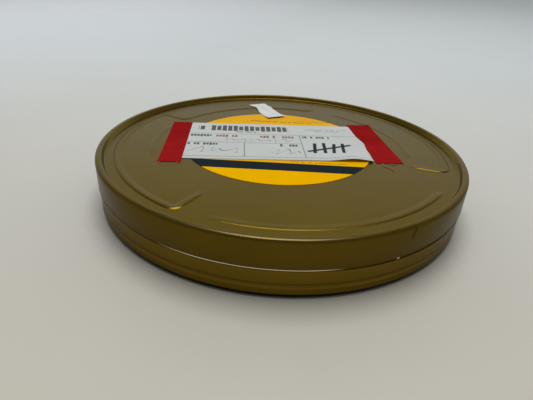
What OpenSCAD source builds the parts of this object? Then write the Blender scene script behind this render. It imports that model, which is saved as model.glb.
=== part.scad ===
// Round pressed-tin film can: a base with a stepped foot, a slip-on lid with embossed beads, the round label,
// taped-on report slip and tape strips that lie on the lid, and the roll of film on its core inside,
// standing in an opened black bag. Millimetres, +Z up, origin at the middle of the can's underside,
// -Y towards the side that the label is read from.

/* [Film and core] */
// Diameter of the wound roll of film
roll_d = 160; // [100:1:260]
// Width of the film
film_w = 16; // [8:0.5:36]
// Diameter of the core that the film is wound on
core_d = 50; // [44:0.5:80]
// Diameter of the core's bore
core_bore_d = 25.9; // [20:0.1:28]
// Thickness of the core's outer rim
core_rim_t = 2.8; // [2:0.1:4]
// Thickness of the core's hub around the bore
core_hub_t = 4.6; // [4.2:0.1:6]
// Thickness of the web that joins the hub to the rim
core_web_t = 4; // [2:0.5:7]
// Width of the keyway in the bore
keyway_w = 4; // [2:0.1:6]
// Depth of the keyway below the bore
keyway_deep = 3.2; // [1.5:0.1:3.6]
// Width of the slot that grips the film's end
film_slot_w = 1.2; // [0.6:0.1:2]
// Lean of that slot away from the radius
film_slot_lean = 35; // [20:1:40]
// Width of the boss that the slot is cut into
film_boss_w = 7.2; // [6:0.1:10]
// Length of the tape that holds the roll's loose end, straight across
end_tape_l = 40; // [20:1:80]
// Width of the tape that holds the roll's loose end
end_tape_w = 12; // [6:0.5:15]

/* [Can] */
// Thickness of the tin sheet
sheet_t = 0.3; // [0.2:0.05:0.4]
// Room between the roll and the base's rolled edge, for the bag
bag_room = 3.95; // [3.6:0.05:8]
// Free height between the roll and the lid's panel
head_room = 4.1; // [1.6:0.1:6]
// Gap between the lid's skirt and the base's side
lid_gap = 0.15; // [0.05:0.05:0.4]
// Height of the lid's skirt, from the rim's top to its lower edge
skirt_h = 12; // [8:0.1:14]

/* [Lid pressing] */
// Width of the flat ring on top of the raised rim
rim_flat = 1; // [0.4:0.1:3]
// Radius of the rim's outer upper corner
rim_corner_r = 1.4; // [1.2:0.05:1.8]
// Radius of the rim's inner upper corner
rim_inner_r = 0.5; // [0.45:0.05:1.2]
// Height from the bend at the rim's foot to the middle of its outer corner
rim_rise = 0.1; // [0.05:0.05:2]
// Radius of the hollow corner where the rim meets the panel
rim_foot_r = 0.5; // [0.2:0.05:1.2]
// Width of an embossed bead
bead_w = 2.4; // [1.4:0.1:3]
// Height of an embossed bead
bead_h = 0.3; // [0.25:0.05:0.9]
// Distance from the can's side to the outer beads
outer_bead_in = 8.5; // [6:0.1:12]
// Distance from the outer beads to the inner beads
bead_step = 15.5; // [12:0.5:20]
// Length of the free legs that run in from the outer beads
bead_leg_l = 14.5; // [6:0.5:15]
// Radius of the turn between a leg and an arc
bead_turn_r = 3.5; // [2.5:0.1:5]
// Direction that the bead pattern is symmetrical about
bead_axis = 292; // [0:1:359]
// Half angle of the front outer arc
front_arc = 38; // [20:1:42]
// Angle from the pattern's axis to the free legs
front_leg = 51.5; // [46:0.5:56]
// Angle from the pattern's axis to the legs of the rear step
rear_leg = 142; // [135:1:155]
// Angle from the pattern's axis to the start of a side arc
side_arc_from = 61; // [58:1:80]
// Angle from the pattern's axis to the end of a side arc
side_arc_to = 130; // [110:1:132]

/* [Base pressing] */
// Radius of the curled edge at the top of the base
curl_r = 0.8; // [0.5:0.05:0.9]
// Radius of the corner at the side's lower edge
side_corner_r = 0.6; // [0.4:0.05:1]
// Height of the step under the side, above what the can stands on
foot_drop = 1.6; // [1.3:0.05:1.9]
// Gap between the bag and the inside of the foot
foot_gap = 0.7; // [0.4:0.05:1]
// Radius inside the bend between the step and the foot
step_bend_r = 0.3; // [0.2:0.05:0.4]
// Radius of the corner round the foot
foot_corner_r = 0.7; // [0.4:0.05:0.85]
// Width of the flat ring that the can stands on
foot_w = 2; // [1:0.1:6]
// Lift of the bottom panel above the foot
foot_lift = 1; // [0.8:0.05:1.4]
// Height of the groove's middle above the side's lower edge
groove_up = 3.9; // [2.6:0.05:5]
// Width of the groove
groove_w = 2.4; // [1:0.1:3]
// Depth of the groove
groove_deep = 0.25; // [0.1:0.05:0.6]

/* [Bag] */
// Thickness of the bag's gathered plies
bag_t = 0.6; // [0.3:0.05:1]
// Gap between the bag and what stands beside it
bag_gap = 0.4; // [0.3:0.05:0.8]
// Height that the bag's mouth stands above the roll
bag_rise = 0.9; // [0.3:0.1:1.4]
// Depth of the cuff turned down outside the mouth
cuff_deep = 10; // [4:0.5:14]

/* [Label and slip] */
// Diameter of the round label
label_d = 92; // [60:1:110]
// Thickness of the label and of the slip
paper_t = 0.1; // [0.08:0.01:0.2]
// Sideways offset of the label from the lid's middle
label_x = -2; // [-4:0.1:4]
// Offset of the label away from the reader
label_y = 2.3; // [-4:0.1:4]
// Length of the report slip
slip_l = 93.5; // [80:0.5:104]
// Height of the report slip
slip_h = 48.6; // [40:0.2:60]
// Sideways offset of the slip from the lid's middle
slip_x = -4.3; // [-6:0.1:6]
// Offset of the slip away from the reader
slip_y = 4.9; // [-6:0.1:8]
// Turn of the slip on the lid
slip_turn = 4.4; // [-10:0.1:10]

/* [Tapes] */
// Thickness of the tapes
tape_t = 0.15; // [0.1:0.01:0.3]
// Gap under a tape where it bridges a bead
tape_lift = 0.05; // [0.02:0.01:0.1]
// Length of the two side tapes
side_tape_l = 53.2; // [40:0.2:62]
// Width of the left tape
left_tape_w = 10.1; // [6:0.1:16]
// Width of the right tape
right_tape_w = 12.8; // [6:0.1:16]
// Extra turn of the right tape against the slip
right_tape_turn = 2.8; // [-6:0.1:6]
// Reach of the left tape past the slip's end
left_tape_past = 5.7; // [2:0.1:8]
// Reach of the right tape past the slip's end
right_tape_past = 10.9; // [2:0.1:14]
// Shift of the left tape along the slip's end
left_tape_shift = -1.7; // [-5:0.1:5]
// Shift of the right tape along the slip's end
right_tape_shift = 1.4; // [-5:0.1:5]
// Length of the white tape
white_tape_l = 29; // [18:0.5:36]
// Width of the white tape
white_tape_w = 10.8; // [6:0.1:14]
// Direction of the white tape's middle, seen from the label's middle
white_tape_at = 97.6; // [90:0.1:110]
// Reach of the white tape in over the label's edge
white_tape_over = 7.7; // [3:0.1:8]
// Turn of the white tape against the lid
white_tape_turn = 26; // [0:1:40]

/* [Hidden] */
$fn = 96;
// Overshoot of a cut past the face that it opens
over = 1;
// Fullness of a bead's turns and ends over its straight runs, and the angle that a turn laps each run
bead_swell = 0.04;
bead_lap = 3;

// Radii, from the roll outwards
roll_r = roll_d / 2;
core_r = core_d / 2;
bore_r = core_bore_d / 2;
curl_in_r = roll_r + bag_room;
side_r = curl_in_r + 2 * curl_r;
can_r = side_r + lid_gap + sheet_t;
rim_in_r = can_r - rim_corner_r - rim_flat - rim_inner_r;
foot_r = roll_r + bag_gap + bag_t + foot_gap + sheet_t;

// Heights, from the floor up
floor_z = foot_lift + sheet_t;
roll_z = floor_z + bag_t;
roll_top = roll_z + film_w;
panel_z = roll_top + head_room + sheet_t;
rim_z = panel_z + rim_foot_r + rim_rise;
can_h = rim_z + rim_corner_r;
skirt_z = can_h - skirt_h;

// Embossed beads
bead_crown_r = (pow(bead_w / 2, 2) + pow(bead_h, 2)) / (2 * bead_h);
outer_bead_r = can_r - outer_bead_in;
inner_bead_r = outer_bead_r - bead_step;
leg_end_r = outer_bead_r - bead_leg_l;
// Turn that a rounded corner takes on an arc, inside the outer arc and outside the inner arc
outer_turn = asin(bead_turn_r / (outer_bead_r - bead_turn_r));
inner_turn = asin(bead_turn_r / (inner_bead_r + bead_turn_r));
outer_leg_r = (outer_bead_r - bead_turn_r) * cos(outer_turn);
inner_leg_r = (inner_bead_r + bead_turn_r) * cos(inner_turn);

// Groove in the base's side
groove_z = foot_drop + groove_up;
groove_r = (pow(groove_w / 2, 2) + pow(groove_deep, 2)) / (2 * groove_deep);

// Level of the slip, which lies on the label
slip_z = panel_z + paper_t;

tin_colour = [0.40, 0.35, 0.19];

// Quarter of a bent sheet: outer radius r, thickness t, from angle a on
module bend(x, y, r, t, a) {
    translate([x, y])
        rotate(a)
            intersection() {
                difference() {
                    circle(r);
                    circle(r - t);
                }
                square(r + over);
            }
}

// Upright or level stretch of sheet between two corners
module strip(x0, y0, x1, y1) {
    translate([min(x0, x1), min(y0, y1)])
        square([abs(x1 - x0), abs(y1 - y0)]);
}

// Section of a bead on the panel, grown outwards by grow and started sunk below the panel's face
module bead_section(grow, sunk) {
    intersection() {
        translate([0, bead_h - bead_crown_r])
            circle(bead_crown_r + grow);
        translate([-bead_w, -sunk])
            square([2 * bead_w, sunk + bead_w]);
    }
}

// Stretch of bead along an arc round the lid's middle
module bead_arc(r, from, to, grow, sunk) {
    rotate_extrude(angle = to - from, start = from)
        translate([r, 0])
            bead_section(grow, sunk);
}

// Straight stretch of bead along a radius
module bead_leg(r0, r1, at, grow, sunk) {
    rotate(at)
        translate([r0, 0, 0])
            rotate([90, 0, 90])
                linear_extrude(r1 - r0)
                    bead_section(grow, sunk);
}

// Round end of a bead
module bead_end(r, at, grow, sunk) {
    rotate(at)
        translate([r, 0, 0])
            rotate_extrude()
                intersection() {
                    bead_section(grow + bead_swell, sunk);
                    translate([0, -bead_w])
                        square(3 * bead_w);
                }
}

// Rounded corner whose middle lies at radius r and direction at, swept from one angle on
module bead_turn(r, at, from, sweep, grow, sunk) {
    rotate(at)
        translate([r, 0, 0])
            rotate_extrude(angle = sweep + 2 * bead_lap, start = from - bead_lap)
                translate([bead_turn_r, 0])
                    bead_section(grow + bead_swell, sunk);
}

// Arc with two round ends
module bead_bar(r, from, to, grow, sunk) {
    bead_arc(r, from, to, grow, sunk);
    bead_end(r, from, grow, sunk);
    bead_end(r, to, grow, sunk);
}

// Half of the stepped bead: free leg, outer arc and rear leg, on one side of the pattern's axis
module bead_half(grow, sunk) {
    bead_end(leg_end_r, front_leg, grow, sunk);
    bead_leg(leg_end_r, outer_leg_r, front_leg, grow, sunk);
    bead_turn(outer_bead_r - bead_turn_r, front_leg + outer_turn, -outer_turn - 90, 90 + outer_turn,
        grow, sunk);
    bead_arc(outer_bead_r, front_leg + outer_turn, rear_leg - outer_turn, grow, sunk);
    bead_turn(outer_bead_r - bead_turn_r, rear_leg - outer_turn, 0, 90 + outer_turn, grow, sunk);
    bead_leg(inner_leg_r, outer_leg_r, rear_leg, grow, sunk);
    bead_turn(inner_bead_r + bead_turn_r, rear_leg + inner_turn, 180, 90 - inner_turn, grow, sunk);
}

// The three arcs nearest the label
module inner_beads(grow, sunk) {
    translate([0, 0, panel_z])
        rotate(bead_axis) {
            bead_arc(inner_bead_r, rear_leg + inner_turn, 360 - rear_leg - inner_turn, grow, sunk);
            for (side = [0, 1])
                mirror([0, side, 0])
                    bead_bar(inner_bead_r, side_arc_from, side_arc_to, grow, sunk);
        }
}

// The outer beads and their legs
module outer_beads(grow, sunk) {
    translate([0, 0, panel_z])
        rotate(bead_axis) {
            bead_bar(outer_bead_r, -front_arc, front_arc, grow, sunk);
            for (side = [0, 1])
                mirror([0, side, 0])
                    bead_half(grow, sunk);
        }
}

// Lid pressed from one sheet: skirt, raised rim, panel and beads that are hollow underneath
module lid() {
    foot_z = panel_z + rim_foot_r;
    color(tin_colour)
        difference() {
            union() {
                rotate_extrude() {
                    strip(can_r - sheet_t, skirt_z, can_r, rim_z);
                    bend(can_r - rim_corner_r, rim_z, rim_corner_r, sheet_t, 0);
                    strip(rim_in_r + rim_inner_r, can_h - sheet_t, can_r - rim_corner_r, can_h);
                    bend(rim_in_r + rim_inner_r, can_h - rim_inner_r, rim_inner_r, sheet_t, 90);
                    strip(rim_in_r, foot_z, rim_in_r + sheet_t, can_h - rim_inner_r);
                    bend(rim_in_r - rim_foot_r, foot_z, rim_foot_r + sheet_t, sheet_t, 270);
                    strip(0, panel_z - sheet_t, rim_in_r - rim_foot_r, panel_z);
                }
                outer_beads(0, sheet_t / 2);
                inner_beads(0, sheet_t / 2);
            }
            outer_beads(-sheet_t, sheet_t + over);
            inner_beads(-sheet_t, sheet_t + over);
        }
}

// Base pressed from one sheet: curled edge, grooved side, step, foot and raised bottom
module can_base() {
    side_low = foot_drop + side_corner_r;
    foot_in = foot_r - foot_corner_r - foot_w;
    // The bottom's step is two bends, the lower one round the sheet's upper side
    step_low = (foot_lift + sheet_t) / 2;
    step_high = foot_lift - step_low;
    step_x = foot_in - step_low;
    color(tin_colour)
        rotate_extrude() {
            for (a = [0, 90, 180])
                bend(side_r - curl_r, rim_z, curl_r, sheet_t, a);
            difference() {
                union() {
                    strip(side_r - sheet_t, side_low, side_r, rim_z);
                    intersection() {
                        translate([side_r - groove_deep + groove_r, groove_z])
                            circle(groove_r + sheet_t);
                        strip(side_r - groove_deep - sheet_t - over, side_low, side_r, rim_z);
                    }
                }
                translate([side_r - groove_deep + groove_r, groove_z])
                    circle(groove_r);
            }
            bend(side_r - side_corner_r, side_low, side_corner_r, sheet_t, 270);
            strip(foot_r + step_bend_r, foot_drop, side_r - side_corner_r, foot_drop + sheet_t);
            bend(foot_r + step_bend_r, foot_drop - step_bend_r, step_bend_r + sheet_t, sheet_t, 90);
            strip(foot_r - sheet_t, foot_corner_r, foot_r, foot_drop - step_bend_r);
            bend(foot_r - foot_corner_r, foot_corner_r, foot_corner_r, sheet_t, 270);
            strip(foot_in, 0, foot_r - foot_corner_r, sheet_t);
            bend(foot_in, step_low, step_low, sheet_t, 180);
            bend(step_x - step_high, step_low, step_high + sheet_t, sheet_t, 0);
            strip(0, foot_lift, step_x - step_high, floor_z);
        }
}

// Opened bag that lines the can: a floor, a wall round the roll and a cuff turned down outside it
module light_bag() {
    wall_r = roll_r + bag_gap;
    cuff_r = curl_in_r - bag_gap;
    bag_top = roll_top + bag_rise;
    color([0.06, 0.06, 0.07])
        rotate_extrude()
            difference() {
                strip(0, floor_z, cuff_r, bag_top);
                strip(0, roll_z, wall_r, bag_top + over);
                strip(wall_r + bag_t, roll_z, cuff_r - bag_t, bag_top - bag_t);
                strip(wall_r + bag_t, floor_z - over, cuff_r + over, bag_top - cuff_deep);
            }
}

// Plastic core: hub with keyway, web, rim and the slot that grips the film's end
module film_core() {
    hub_r = bore_r + core_hub_t;
    rim_r = core_r - core_rim_t;
    color([0.86, 0.84, 0.76])
        translate([0, 0, roll_z])
            difference() {
                union() {
                    rotate_extrude() {
                        strip(bore_r, 0, hub_r, film_w);
                        strip(hub_r, (film_w - core_web_t) / 2, rim_r, (film_w + core_web_t) / 2);
                        strip(rim_r, 0, core_r, film_w);
                    }
                    intersection() {
                        translate([(hub_r + rim_r) / 2, 0, film_w / 2])
                            cube([rim_r - hub_r + over, film_boss_w, film_w], center = true);
                        cylinder(r = core_r, h = film_w);
                    }
                }
                rotate(180)
                    translate([0, -keyway_w / 2, -over])
                        cube([bore_r + keyway_deep, keyway_w, film_w + 2 * over]);
                translate([core_r, 0, -over])
                    rotate(film_slot_lean)
                        translate([-core_rim_t - film_slot_w, -film_slot_w / 2, 0])
                            cube([2 * core_rim_t + film_slot_w, film_slot_w, film_w + 2 * over]);
            }
}

// Film wound tight on the core
module film_roll() {
    color([0.33, 0.26, 0.22])
        translate([0, 0, roll_z])
            rotate_extrude()
                strip(core_r, 0, roll_r, film_w);
}

// Paper tape that holds the roll's loose end
module film_end_tape() {
    color([0.90, 0.88, 0.82])
        translate([0, 0, roll_z + (film_w - end_tape_w) / 2])
            intersection() {
                rotate_extrude()
                    strip(roll_r, 0, roll_r + tape_t, end_tape_w);
                translate([-end_tape_l / 2, -roll_d, -over])
                    cube([end_tape_l, roll_d, end_tape_w + 2 * over]);
            }
}

// Round label, grown by grow on its edge and face
module label_block(grow) {
    translate([label_x, label_y, panel_z])
        cylinder(d = label_d + 2 * grow, h = paper_t + grow);
}

// Slip's place on the lid
module on_slip(z) {
    translate([slip_x, slip_y, z])
        rotate(slip_turn)
            children();
}

// Slip and the room under it, grown by grow on its edges and face
module slip_block(grow) {
    on_slip(panel_z)
        translate([-slip_l / 2 - grow, -slip_h / 2 - grow, 0])
            cube([slip_l + 2 * grow, slip_h + 2 * grow, 2 * paper_t + grow]);
}

// Strip of tape that follows the panel and the beads, label and slip under it
module tape() {
    difference() {
        intersection() {
            children();
            union() {
                translate([0, 0, panel_z])
                    cylinder(r = rim_in_r - rim_foot_r, h = tape_t);
                inner_beads(tape_lift + tape_t, 0);
                label_block(tape_t);
                slip_block(tape_t);
            }
        }
        inner_beads(tape_lift, 0);
        label_block(0);
        slip_block(0);
    }
}

module round_label() {
    color([0.93, 0.70, 0.03])
        label_block(0);
}

module report_slip() {
    color([0.86, 0.87, 0.86])
        on_slip(slip_z)
            translate([-slip_l / 2, -slip_h / 2, 0])
                cube([slip_l, slip_h, paper_t]);
}

// Upright block over a tape's outline, tall enough for all that the tape crosses
module tape_outline(l, w) {
    translate([-w / 2, -l / 2, -over])
        cube([w, l, 2 * over + bead_h + tape_lift + tape_t]);
}

module tape_left() {
    color([0.62, 0.08, 0.09])
        tape()
            on_slip(panel_z)
                translate([left_tape_w / 2 - slip_l / 2 - left_tape_past, left_tape_shift, 0])
                    tape_outline(side_tape_l, left_tape_w);
}

module tape_right() {
    color([0.62, 0.08, 0.09])
        tape()
            on_slip(panel_z)
                translate([slip_l / 2 + right_tape_past - right_tape_w / 2, right_tape_shift, 0])
                    rotate(right_tape_turn)
                        tape_outline(side_tape_l, right_tape_w);
}

module white_tape() {
    color([0.88, 0.89, 0.88])
        tape()
            translate([label_x, label_y, panel_z])
                rotate(white_tape_at)
                    translate([label_d / 2 + white_tape_l / 2 - white_tape_over, 0, 0])
                        rotate(white_tape_turn - white_tape_at)
                            tape_outline(white_tape_l, white_tape_w);
}

can_base();
light_bag();
film_core();
film_roll();
film_end_tape();
lid();
round_label();
report_slip();
tape_left();
tape_right();
white_tape();
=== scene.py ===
"""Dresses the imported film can: tin, printed paper, tape, crinkled bag, wound film and the stage."""

import math

import bmesh
import bpy
from bpy.props import FloatProperty, FloatVectorProperty, PointerProperty
from mathutils import Matrix, Vector, noise


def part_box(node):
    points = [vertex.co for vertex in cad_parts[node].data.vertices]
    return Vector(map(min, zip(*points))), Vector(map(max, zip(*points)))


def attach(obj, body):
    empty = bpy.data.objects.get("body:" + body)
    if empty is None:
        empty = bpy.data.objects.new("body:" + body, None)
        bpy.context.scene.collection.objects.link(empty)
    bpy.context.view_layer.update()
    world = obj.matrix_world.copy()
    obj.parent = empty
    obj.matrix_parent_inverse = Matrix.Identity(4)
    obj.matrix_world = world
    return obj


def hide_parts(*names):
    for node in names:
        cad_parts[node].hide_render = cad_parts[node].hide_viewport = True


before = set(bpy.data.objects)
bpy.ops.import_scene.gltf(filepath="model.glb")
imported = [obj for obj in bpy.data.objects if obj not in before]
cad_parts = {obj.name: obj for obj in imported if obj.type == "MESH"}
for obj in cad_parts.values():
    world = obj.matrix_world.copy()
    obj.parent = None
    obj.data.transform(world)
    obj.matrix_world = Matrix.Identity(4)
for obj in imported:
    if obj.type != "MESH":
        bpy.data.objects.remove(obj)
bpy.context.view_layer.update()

bl_info = {
    "name": "Film Can Dresser",
    "version": (1, 0, 0),
    "blender": (4, 5, 0),
    "location": "View3D > Sidebar > Film Can",
    "description": "Builds the looks of a taped and labelled film can round its CAD frame",
    "category": "Object",
}

MM = 0.001
UP = Vector((0, 0, 1))
QUARTER = math.pi / 2
# Points that are closer than this are one point
MERGE = 1e-6

# Places and sizes that the CAD model fixes, in metres
LID_LOW, LID_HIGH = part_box("lid")
CAN_R = LID_HIGH.x
CAN_TOP = LID_HIGH.z
SKIRT_Z = LID_LOW.z
LABEL_LOW, LABEL_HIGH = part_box("round_label")
LABEL_R = (LABEL_HIGH.x - LABEL_LOW.x) / 2
LABEL_MIDDLE = Vector(((LABEL_HIGH.x + LABEL_LOW.x) / 2, (LABEL_HIGH.y + LABEL_LOW.y) / 2, 0))
PANEL_Z = LABEL_LOW.z
PAPER_T = LABEL_HIGH.z - LABEL_LOW.z
ROLL_LOW, ROLL_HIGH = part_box("film_roll")
BAG_LOW, BAG_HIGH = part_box("light_bag")

# The lid's pressing: sheet and corners as in the CAD model, the rim's lean and the beads finer
SHEET_T = 0.3 * MM
RIM_FLAT = 1.0 * MM
RIM_CORNER_R = 1.4 * MM
RIM_INNER_R = 0.5 * MM
RIM_FOOT_R = 0.5 * MM
RIM_LEAN = math.radians(25)
HEM_R = 0.26 * MM
LID_STEPS = 288
BEAD_H = 0.38 * MM
# A bead's crown and foot radii on its inner side, which rises gently, and on its outer side
BEAD_INSIDE = (7.4 * MM, 4.4 * MM)
BEAD_OUTSIDE = (1.5 * MM, 0.9 * MM)
BEAD_RUN_OUT = 4.5 * MM
OUTER_BEAD_R = CAN_R - 8.5 * MM
INNER_BEAD_R = OUTER_BEAD_R - 15.5 * MM
FREE_LEG_R = OUTER_BEAD_R - 16.0 * MM
BEAD_TURN_R = 3.5 * MM
BEAD_AXIS = math.radians(291.6)
FRONT_LEG = math.radians(51.1)
REAR_LEG = math.radians(142)
# The beads that stand alone, with their heights as shares of the long bead's
FRONT_ARC = (math.radians(-41), math.radians(33))
FRONT_ARC_R = 78.7 * MM
FRONT_ARC_MIDDLE = Vector((0.4 * MM, 2.8 * MM, 0))
FRONT_ARC_H = (0.5, 0.9)
FRONT_ARC_RISE = math.radians(22)
RIGHT_ARC = (math.radians(61), math.radians(130))
REAR_ARC = (REAR_LEG + 0.05, math.tau - REAR_LEG - 0.05)
LEFT_ARC = (math.radians(230), math.radians(266))
SIDE_ARC_H = 0.7

# Paper and tape on the lid, as the CAD model has them
SLIP_MIDDLE = Vector((-4.3 * MM, 4.9 * MM, 0))
SLIP_TURN = math.radians(4.4)
SLIP_L = 93.5 * MM
SLIP_H = 48.6 * MM
RED_TAPE_L = 53.2 * MM
WHITE_TAPE_L = 29 * MM
WHITE_TAPE_W = 10.8 * MM
WHITE_TAPE_OVERLAP = 7.7 * MM
WHITE_TAPE_AT = math.radians(97.6)
WHITE_TAPE_TURN = math.radians(26)
TAPE_T = 0.15 * MM
TAPE_GAP = 0.02 * MM

# Bag and roll
BAG_T = 0.08 * MM
BAG_CUFF = 10 * MM
BAG_STEPS = 240
CORE_R = 25 * MM
ROLL_TURNS = 64
ROLL_STEPS = 160
# Holes along the film's edge in millimetres, and how far from the edge they are
HOLE_PITCH, HOLE_HALF_L, HOLE_HALF_H, HOLE_IN = 7.62, 0.91, 0.64, 1.55
# Near black painted shade inside the film's holes
HOLE_SHADE = (0.004, 0.003, 0.003, 1)

# The stage in metres, and the colours of its room
CAMERA_PLACE = (-5.92 * MM, -194.58 * MM, 98.52 * MM)
CAMERA_PITCH = math.radians(28.943)
CAMERA_ROLL = math.radians(3.053)
SENSOR_W = 36.0
LAMP_PLACE, LAMP_TARGET, LAMP_SIZE = (0.0, 0.27, 1.6), (0, 0.27, 0), (0.8, 1.15)
FLOOR_R = 8.0
COVERED_FLOOR = (0.04, 0.036, 0.028, 1)
ROOM_FRONT = (0.30, 0.295, 0.28, 1)
ROOM_SIDES = (0.40, 0.395, 0.38, 1)
ROOM_WALL = (1.02, 1.10, 1.12, 1)
ROOM_CEILING = (0.26, 0.26, 0.257, 1)


def colour(name, description, default):
    return FloatVectorProperty(
        name=name, description=description, default=default, subtype="COLOR", size=3, min=0, max=1
    )


def length(name, description, default):
    return FloatProperty(name=name, description=description, default=default, unit="LENGTH")


class FilmCanColours(bpy.types.PropertyGroup):
    """Colours of the can's finishes"""

    tin: colour("Tin", "Gold-olive lacquer on the tin", (0.120, 0.0760, 0.0060))
    bare_tin: colour("Bare tin", "Bare metal of the skirt's cut edge", (0.95, 0.86, 0.69))
    # Painted sheen: a paler tint for the lamp's highlight on the rim's crown
    painted_sheen: colour("Sheen lacquer", "Paler lacquer on the crown of the rim", (0.090, 0.070, 0.030))
    # Near black painted shade for the gap under the lid's edge
    painted_edge_shade: colour("Shade", "Dirt along the lid's edge", (0.010, 0.005, 0.0015))
    stain: colour("Stain", "Brown run on the lid's side", (0.036, 0.015, 0.003))
    label: colour("Label", "Yellow of the round label", (0.83, 0.428, 0.0005))
    # Painted shade on the label's back edge
    label_back_shade: colour("Shaded label", "Yellow at the label's back edge", (0.73, 0.385, 0.026))
    stripe: colour("Stripe", "Dark stripe across the label", (0.016, 0.023, 0.025))
    paper: colour("Slip", "White paper of the slip", (0.520, 0.543, 0.527))
    ink: colour("Ink", "Black print and ruled lines", (0.02, 0.022, 0.025))
    pencil: colour("Pencil", "Pencil marks", (0.16, 0.165, 0.17))
    second_ink: colour("Second ink", "Red-brown print", (0.26, 0.05, 0.035))
    red_tape: colour("Red tape", "Red cloth tape", (0.268, 0.0095, 0.0105))
    thread: colour("Threads", "Loose threads of the red tape", (0.42, 0.11, 0.10))
    white_tape: colour("White tape", "White paper tape", (0.613, 0.640, 0.615))
    bag: colour("Bag", "Black polythene", (0.012, 0.012, 0.014))
    film: colour("Film", "Edges of the wound film", (0.070, 0.046, 0.034))
    core: colour("Core", "Off-white moulded core", (0.66, 0.63, 0.53))
    # The floor's three colours paint the room's light on it: warm and darker in front, cool behind,
    # lighter far back on the left
    floor: colour("Floor", "Pale floor", (0.56, 0.53, 0.455))
    painted_cool_floor: colour("Far floor", "Pale floor behind the can", (0.545, 0.575, 0.585))
    painted_lit_floor: colour("Left floor", "Pale floor far back on the left", (0.69, 0.72, 0.745))


class FilmCanShapes(bpy.types.PropertyGroup):
    """Sizes of the loose and hand-worked details"""

    slip_lift: length("Slip lift", "Rise of the slip's loose lower edge", 1.3 * MM)
    tape_end_lift: length("Tape lift", "Rise of the white tape's loose end", 0.8 * MM)
    bag_crinkle: length("Bag crinkle", "Depth of the bag's crinkles", 0.3 * MM)
    wind_step: length("Winding step", "Unevenness of the wound turns", 0.22 * MM)


class FilmCanStage(bpy.types.PropertyGroup):
    """Light and camera"""

    lens: FloatProperty(
        name="Lens", description="Focal length on a 36 mm sensor", default=28.37, unit="CAMERA"
    )
    sky: FloatProperty(name="Sky", description="Strength of the even light", default=1.0, min=0)
    lamp: FloatProperty(
        name="Lamp", description="Power of the soft lamp overhead", default=17.4, unit="POWER"
    )


def paint(name):
    """One of the can's colours, as a node takes it"""
    return (*getattr(bpy.context.scene.film_can_colours, name), 1.0)


def shapes():
    return bpy.context.scene.film_can_shapes


# Node trees


class Tree:
    """Shorthand for filling one node tree"""

    def __init__(self, tree):
        self.tree = tree

    def add(self, kind, inputs=(), **settings):
        made = self.tree.nodes.new("ShaderNode" + kind)
        for key, value in settings.items():
            setattr(made, key, value)
        self.fill(made.inputs, inputs)
        return made

    def fill(self, sockets, inputs):
        """Links or sets sockets, by name or in their order"""
        for key, value in inputs.items() if isinstance(inputs, dict) else enumerate(inputs):
            if isinstance(value, bpy.types.NodeSocket):
                self.tree.links.new(value, sockets[key])
            else:
                sockets[key].default_value = value

    def group(self, tree, inputs):
        return self.add("Group", inputs, node_tree=tree).outputs

    def math(self, operation, *values, clamp=False):
        return self.add("Math", values, operation=operation, use_clamp=clamp).outputs[0]

    def times(self, first, *others):
        for value in others:
            first = self.math("MULTIPLY", first, value)
        return first

    def gap(self, value, middle):
        """Distance of a value from a middle"""
        return self.math("ABSOLUTE", self.math("SUBTRACT", value, middle))

    def between(self, value, low, high):
        after = self.math("GREATER_THAN", value, low)
        return self.times(after, self.math("LESS_THAN", value, high))

    def radius(self, x, y):
        """Distance from the can's axis"""
        return self.math("SQRT", self.math("ADD", self.times(x, x), self.times(y, y)))

    def vector(self, operation, *values):
        return self.add("VectorMath", values, operation=operation).outputs[0]

    def mix(self, share, first, second, blend="MIX"):
        made = self.add("Mix", {0: share, 6: first, 7: second}, data_type="RGBA", blend_type=blend)
        return made.outputs[2]

    def shaded(self, colour, shade):
        """A colour made lighter or darker by a value"""
        grey = self.add("CombineColor", [shade, shade, shade]).outputs[0]
        return self.mix(1.0, colour, grey, "MULTIPLY")

    def ramp(self, value, low, high, to_low=0.0, to_high=1.0):
        return self.add("MapRange", {0: value, 1: low, 2: high, 3: to_low, 4: to_high}).outputs[0]

    def spread(self, grain, low, high):
        """The usual span of a noise, spread from low to high"""
        return self.ramp(grain, 0.3, 0.7, low, high)

    def mottle(self, cloud, low, high, speckle, swing):
        """Broad blotches from low to high, with fine specks on them"""
        return self.math("ADD", self.spread(cloud, low, high), self.spread(speckle, -swing, swing))

    def noise(self, place, scale, detail=2.0, rough=0.5):
        inputs = {"Vector": place, "Scale": scale, "Detail": detail, "Roughness": rough}
        return self.add("TexNoise", inputs).outputs[0]

    def split(self, vector):
        return self.add("SeparateXYZ", [vector]).outputs

    def millimetres(self):
        return self.vector("MULTIPLY", self.add("TexCoord").outputs["Object"], (1000, 1000, 1000))

    def sheet_map(self):
        return self.add("UVMap", uv_map="sheet").outputs[0]


def once(store, name):
    """Has a group or a material made only the first time it is asked for"""

    def keep(make):
        def made():
            found = getattr(bpy.data, store).get(name)
            return make(name) if found is None else found

        return made

    return keep


def effect(name, inputs, outputs):
    """A new node group: inputs with their usual values, or None for a vector, and values out"""
    tree = bpy.data.node_groups.new(name, "ShaderNodeTree")
    for socket, value in inputs.items():
        kind = "NodeSocketVector" if value is None else "NodeSocketFloat"
        made = tree.interface.new_socket(socket, in_out="INPUT", socket_type=kind)
        if value is not None:
            made.default_value = value
    for socket in outputs:
        tree.interface.new_socket(socket, in_out="OUTPUT", socket_type="NodeSocketFloat")
    given = tree.nodes.new("NodeGroupInput").outputs
    return Tree(tree), given, tree.nodes.new("NodeGroupOutput").inputs


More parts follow.
